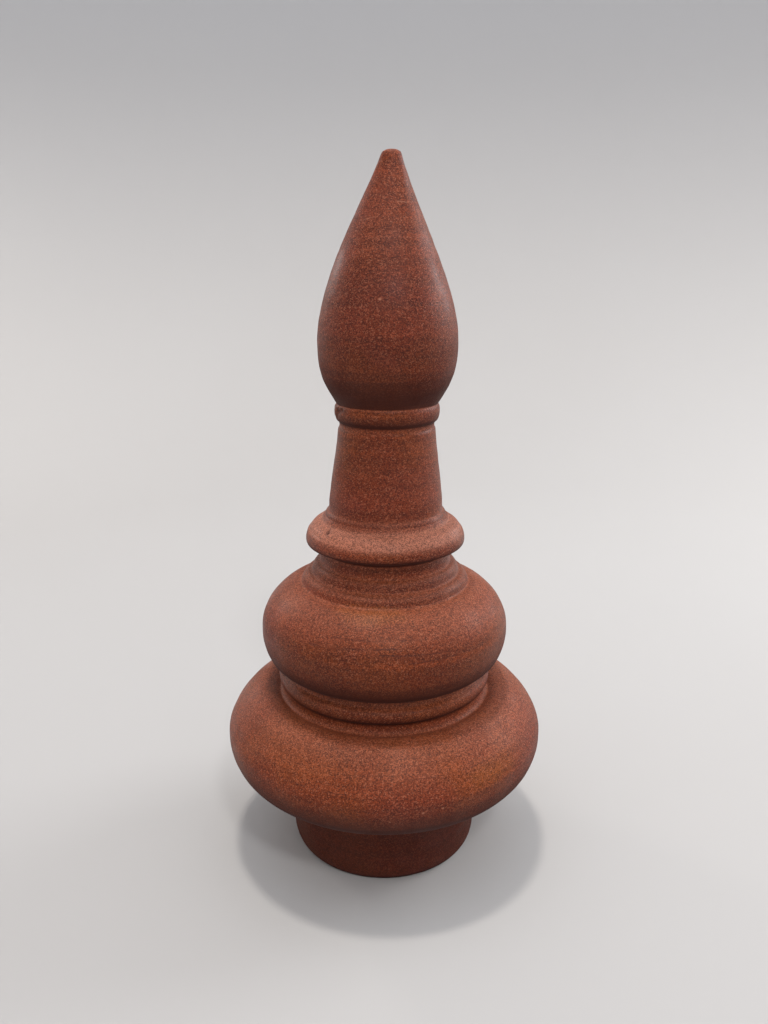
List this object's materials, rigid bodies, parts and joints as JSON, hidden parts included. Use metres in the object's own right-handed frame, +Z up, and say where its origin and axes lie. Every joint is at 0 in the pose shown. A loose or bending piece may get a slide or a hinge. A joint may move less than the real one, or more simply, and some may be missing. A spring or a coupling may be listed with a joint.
{
  "type": "roof finial",
  "caption": "Thrown terracotta ridge finial: squat bellies with turned collars, a flanged neck and a pointed bud, hollow with an open foot.",
  "frame": {"origin": "centre of the ring that the foot stands on, level with the ground", "axes": "+Z up the wheel axis to the tip; -Y is the side that faces the viewer, +X is to their right"},
  "size_m": [0.141, 0.141, 0.3],
  "materials": {
    "terracotta": "unglazed, fine sandy grain with wheel lines"
  },
  "bodies": {
    "root": {"finial": "terracotta"}
  },
  "joints": []
}
